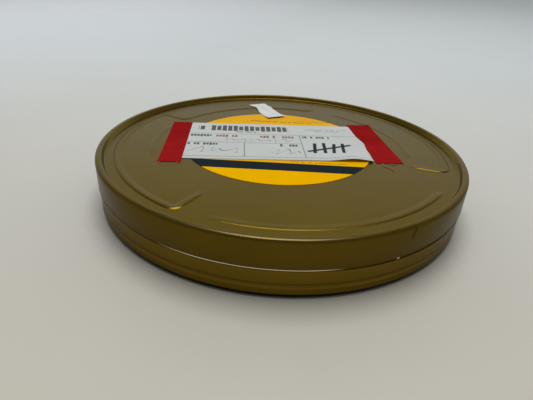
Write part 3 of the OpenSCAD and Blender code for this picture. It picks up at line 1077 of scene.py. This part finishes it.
class FILMCAN_OT_slip(bpy.types.Operator):
    """Lays the printed slip on the label"""

    bl_idname = "filmcan.slip"
    bl_label = "Report Slip"

    def execute(self, context):
        bm = bmesh.new()
        flat_grid(bm, SLIP_H, SLIP_L, 1.0 * MM)
        for v in bm.verts:
            pull = smooth_step(20 * MM, SLIP_L / 2, v.co.x)
            v.co.x -= (SLIP_L / 2 - slip_end(v.co.y)) * pull
            v.co.z = PANEL_Z + PAPER_T + slip_rise(v.co.x, v.co.y)
        bmesh.ops.transform(bm, matrix=placed(SLIP_MIDDLE, SLIP_TURN), verts=bm.verts)
        slip = piece("printed_slip", bm, slip_paper(), "lid", "slip", "report_slip")
        thicken(slip, PAPER_T, 1.0)
        return {"FINISHED"}


# Loose threads at the lower edges of the red tapes: points across and along, in millimetres
LEFT_THREADS = (
    ((-4.2, 0), (-4.1, -0.8), (-3.8, -1.5), (-3.3, -2.0)),
    ((3.4, 0), (3.5, -0.7), (3.9, -1.2), (4.5, -1.4)),
)
RIGHT_THREADS = (
    (
        *((-3.6, 0), (-3.9, -1.1), (-4.2, -2.2), (-4.3, -3.2), (-3.9, -4.0)),
        *((-3.1, -4.3), (-2.4, -4.9), (-1.9, -5.9), (-1.7, -7.2), (-1.3, -8.4)),
    ),
    ((0.4, 0), (0.5, -0.8), (1.0, -1.4), (1.8, -1.6), (2.6, -1.3)),
)
# Red tapes: name, node, width, place from the slip's middle, degrees of turn, pinch, threads
RED_TAPES = (
    ("red_tape_left", "tape_left", 10.1, (-47.4, -1.7), 0.0, 0.0, LEFT_THREADS),
    ("red_tape_right", "tape_right", 12.8, (51.25, 1.4), 2.8, 1.3, RIGHT_THREADS),
)


class FILMCAN_OT_tapes(bpy.types.Operator):
    """Sticks the tapes over the slip's ends and the label's edge"""

    bl_idname = "filmcan.tapes"
    bl_label = "Tapes"

    def execute(self, context):
        for row in RED_TAPES:
            self.red_tape(*row)
        self.white_tape()
        return {"FINISHED"}

    def red_tape(self, name, node, width, spot, turn, pinch, threads):
        bm = bmesh.new()
        flat_grid(bm, RED_TAPE_L, width * MM, 0.6 * MM)
        for thread in threads:
            fray(bm, -RED_TAPE_L / 2, thread)
        real_map(bm)
        crease = {}
        for v in bm.verts:
            x, y = v.co.xy
            near = bell(y + 2.2 * MM, 6 * MM)
            v.co.x += pinch * MM * near * smooth_step(0.2 * width * MM, -0.5 * width * MM, x)
            ridge = bell(y + 2.5 * MM - 0.35 * x, 0.9 * MM)
            crease[v] = 0.25 * MM * pinch * ridge * smooth_step(3 * MM, -4 * MM, x)
        on_tape = placed((spot[0] * MM, spot[1] * MM, 0), math.radians(turn))
        place = placed(SLIP_MIDDLE, SLIP_TURN) @ on_tape
        bmesh.ops.transform(bm, matrix=place, verts=bm.verts)
        lay_down(bm, 6)
        for v in bm.verts:
            v.co.z += crease[v]
        thicken(piece(name, bm, cloth_tape(), "lid", "red_tape", node), TAPE_T, 1.0)

    def white_tape(self):
        end = WHITE_TAPE_L / 2
        bm = bmesh.new()
        flat_grid(bm, WHITE_TAPE_L, WHITE_TAPE_W, 0.5 * MM)
        real_map(bm)
        flat = {v: v.co.xy for v in bm.verts}
        for v in bm.verts:
            x, y = v.co.xy
            near = bell(y - 6.0 * MM, 5.5 * MM)
            v.co.x += 1.8 * MM * near * smooth_step(2 * MM, -WHITE_TAPE_W / 2, x)
        middle = LABEL_MIDDLE + heading(WHITE_TAPE_AT) * (LABEL_R + end - WHITE_TAPE_OVERLAP)
        bmesh.ops.transform(bm, matrix=placed(middle, WHITE_TAPE_TURN), verts=bm.verts)
        lay_down(bm, 8)
        for v in bm.verts:
            x, y = flat[v]
            lift = smooth_step(-end + 8 * MM, -end, y) ** 2 * shapes().tape_end_lift
            fold = 0.5 * MM * bell(x - 1.2 * MM + 0.1 * y, 0.7 * MM)
            ripple = 0.12 * MM * (1 + noise.noise(Vector((x, y * 0.3, 0)) * 420))
            v.co.z += lift + (fold + ripple) * smooth_step(end, end - 3 * MM, abs(y))
        tape = piece("paper_tape_back", bm, paper_tape(), "lid", "paper_tape", "white_tape")
        thicken(tape, TAPE_T, 1.0)


class FILMCAN_OT_bag(bpy.types.Operator):
    """Lines the can with the opened black bag"""

    bl_idname = "filmcan.bag"
    bl_label = "Black Bag"

    def execute(self, context):
        bm = bmesh.new()
        floor_z = BAG_LOW.z + 0.3 * MM
        wall_r = ROLL_HIGH.x + 0.7 * MM
        cuff_r = BAG_HIGH.x - 0.3 * MM
        mouth_r = (cuff_r - wall_r) / 2
        mouth_z = BAG_HIGH.z - mouth_r
        cuff_z = BAG_HIGH.z - BAG_CUFF
        up = [floor_z + (mouth_z - floor_z) * i / 12 for i in range(13)]
        down = [mouth_z + (cuff_z - mouth_z) * i / 8 for i in range(1, 9)]
        profile_line(
            bm,
            (0, 0, floor_z),
            (0.5 * wall_r, floor_z),
            (wall_r - 1 * MM, floor_z),
            *[(wall_r, z) for z in up],
            ((wall_r + mouth_r, mouth_z), -math.pi, 8),
            *[(cuff_r, z) for z in down],
        )
        spun(bm, lines_of(bm), BAG_STEPS)
        depth = shapes().bag_crinkle
        for v in bm.verts:
            radius = math.hypot(v.co.x, v.co.y)
            if radius < wall_r - 2 * MM:
                continue
            out = Vector((v.co.x, v.co.y, 0)).normalized()
            loose = depth * smooth_step(floor_z, floor_z + 5 * MM, v.co.z)
            pleat = noise.noise(Vector((out.x * 14, out.y * 14, v.co.z * 90)))
            crease = 1 - 2 * abs(noise.noise(Vector((out.x * 33, out.y * 33, v.co.z * 260))))
            sag = noise.noise(Vector((out.x * 9, out.y * 9, 3 + radius * 300)))
            v.co += out * loose * max(-1.0, min(1.0, 0.8 * pleat + 0.35 * crease))
            v.co.z += 1.6 * loose * sag
        bmesh.ops.recalc_face_normals(bm, faces=bm.faces)
        bag = piece("opened_bag", bm, black_polythene(), "bag", "bag", "light_bag")
        thicken(bag, BAG_T, 0.0)
        return {"FINISHED"}


class FILMCAN_OT_film(bpy.types.Operator):
    """Winds the film and finishes its core and end tape"""

    bl_idname = "filmcan.film"
    bl_label = "Film and Core"

    def execute(self, context):
        bm = bmesh.new()
        step = shapes().wind_step
        rings = [
            CORE_R + (ROLL_HIGH.x - CORE_R) * i / ROLL_TURNS for i in range(ROLL_TURNS + 1)
        ]

        def uneven(i, seed):
            return step * max(0.0, noise.noise(Vector((i * 0.37, seed, 0))))

        top = [(r, ROLL_HIGH.z - uneven(i, 1.5)) for i, r in enumerate(rings)]
        bottom = [(r, ROLL_LOW.z + uneven(i, 8.5)) for i, r in enumerate(rings)]
        (x, z), *outline = bottom[::-1] + top
        start = (x, 0, z)
        tip = profile_line(bm, start, *outline)
        first = min(bm.verts, key=lambda v: (v.co - Vector(start)).length)
        bm.edges.new((tip, first))
        spun(bm, lines_of(bm), ROLL_STEPS)
        bmesh.ops.recalc_face_normals(bm, faces=bm.faces)
        roll = piece("wound_roll", bm, wound_film(), "roll", "film", "film_roll")
        roll.data.set_sharp_from_angle(angle=math.radians(40))
        dress("film_core", moulded_core())
        dress("film_end_tape", paper_tape())
        return {"FINISHED"}


class FILMCAN_OT_stage(bpy.types.Operator):
    """Sets up the pale floor, the soft light and the camera"""

    bl_idname = "filmcan.stage"
    bl_label = "Stage"

    def execute(self, context):
        scene = context.scene
        stage = scene.film_can_stage
        scene.view_settings.view_transform = "Standard"
        self.floor()
        self.sky(scene, stage.sky)
        self.lamp(stage.lamp)
        self.camera(scene, stage.lens)
        return {"FINISHED"}

    def floor(self):
        bm = bmesh.new()
        bmesh.ops.create_circle(bm, cap_ends=True, segments=64, radius=FLOOR_R)
        t = Finish("pale floor")
        place = t.millimetres()
        height, _, cloud = t.grain(place, 1.5, 90.0)
        x, y, _ = t.split(place)
        # Painted light on the floor: warmer and darker in front, cooler behind and lighter far back
        # on the left
        tone = t.mix(t.ramp(y, -150.0, 350.0), paint("floor"), paint("painted_cool_floor"))
        left = t.math("SUBTRACT", t.times(y, 0.3), x)
        tone = t.mix(t.ramp(left, 200.0, 700.0), tone, paint("painted_lit_floor"))
        tone = t.shaded(tone, t.spread(cloud, 0.98, 1.01))
        # Dark where the can keeps the light out
        covered = t.ramp(t.radius(x, y), CAN_R / MM - 0.4, CAN_R / MM - 1.9)
        tone = t.mix(covered, tone, COVERED_FLOOR)
        made = t.done(tone, 0.55, height, 0.02 * MM, 0.3, Specular_IOR_Level=0.5)
        floor = linked("floor", mesh_of("floor", bm, made))

    def sky(self, scene, strength):
        """Soft room: a bright wall behind the can, a dimmer room in front and beside it"""
        world = bpy.data.worlds.new("soft room")
        world.use_nodes = True
        scene.world = world
        t = Tree(world.node_tree)
        _, y, z = t.split(t.add("TexCoord").outputs["Generated"])
        near = t.mix(t.ramp(y, -0.7, 0.1), ROOM_FRONT, ROOM_SIDES)
        low = t.mix(t.ramp(y, 0.45, 0.85), near, ROOM_WALL)
        room = t.mix(t.ramp(z, 0.56, 0.70), low, ROOM_CEILING)
        t.fill(t.tree.nodes["Background"].inputs, {"Color": room, "Strength": strength})

    def lamp(self, power):
        """A wide lamp overhead, behind the can"""
        data = bpy.data.lights.new("soft_lamp", "AREA")
        data.shape = "RECTANGLE"
        data.size, data.size_y = LAMP_SIZE
        data.energy = power
        aim = (Vector(LAMP_TARGET) - Vector(LAMP_PLACE)).to_track_quat("-Z", "Y")
        made = linked("soft_lamp", data)
        made.matrix_world = Matrix.Translation(LAMP_PLACE) @ aim.to_matrix().to_4x4()

    def camera(self, scene, lens):
        """Close and low in front, tipped down and a little to one side"""
        data = bpy.data.cameras.new("camera")
        data.lens = lens
        data.sensor_width = SENSOR_W
        data.clip_start = 0.01
        tip = Matrix.Rotation(QUARTER - CAMERA_PITCH, 4, "X") @ Matrix.Rotation(CAMERA_ROLL, 4, "Z")
        made = linked("camera", data)
        made.matrix_world = Matrix.Translation(CAMERA_PLACE) @ tip
        scene.camera = made


# Panel and registration

OPERATORS = (
    FILMCAN_OT_stage,
    FILMCAN_OT_tin,
    FILMCAN_OT_label,
    FILMCAN_OT_slip,
    FILMCAN_OT_tapes,
    FILMCAN_OT_bag,
    FILMCAN_OT_film,
)
GROUPS = {
    "film_can_colours": FilmCanColours,
    "film_can_shapes": FilmCanShapes,
    "film_can_stage": FilmCanStage,
}


class FILMCAN_PT_panel(bpy.types.Panel):
    """Lists the can's settings and the steps that build it"""

    bl_idname = "FILMCAN_PT_panel"
    bl_label = "Film Can"
    bl_space_type = "VIEW_3D"
    bl_region_type = "UI"
    bl_category = "Film Can"

    def draw(self, context):
        layout = self.layout
        for name in GROUPS:
            group = getattr(context.scene, name)
            box = layout.box()
            for setting in group.__annotations__:
                box.prop(group, setting)
        for operator in OPERATORS:
            layout.operator(operator.bl_idname)


CLASSES = (*GROUPS.values(), *OPERATORS, FILMCAN_PT_panel)


def register():
    for cls in CLASSES:
        bpy.utils.register_class(cls)
    for name, cls in GROUPS.items():
        setattr(bpy.types.Scene, name, PointerProperty(type=cls))


def unregister():
    for name in GROUPS:
        delattr(bpy.types.Scene, name)
    for cls in reversed(CLASSES):
        bpy.utils.unregister_class(cls)


def main():
    register()
    bpy.ops.filmcan.stage()
    bpy.ops.filmcan.tin()
    bpy.ops.filmcan.label()
    bpy.ops.filmcan.slip()
    bpy.ops.filmcan.tapes()
    bpy.ops.filmcan.bag()
    bpy.ops.filmcan.film()


if __name__ == "__main__":
    main()
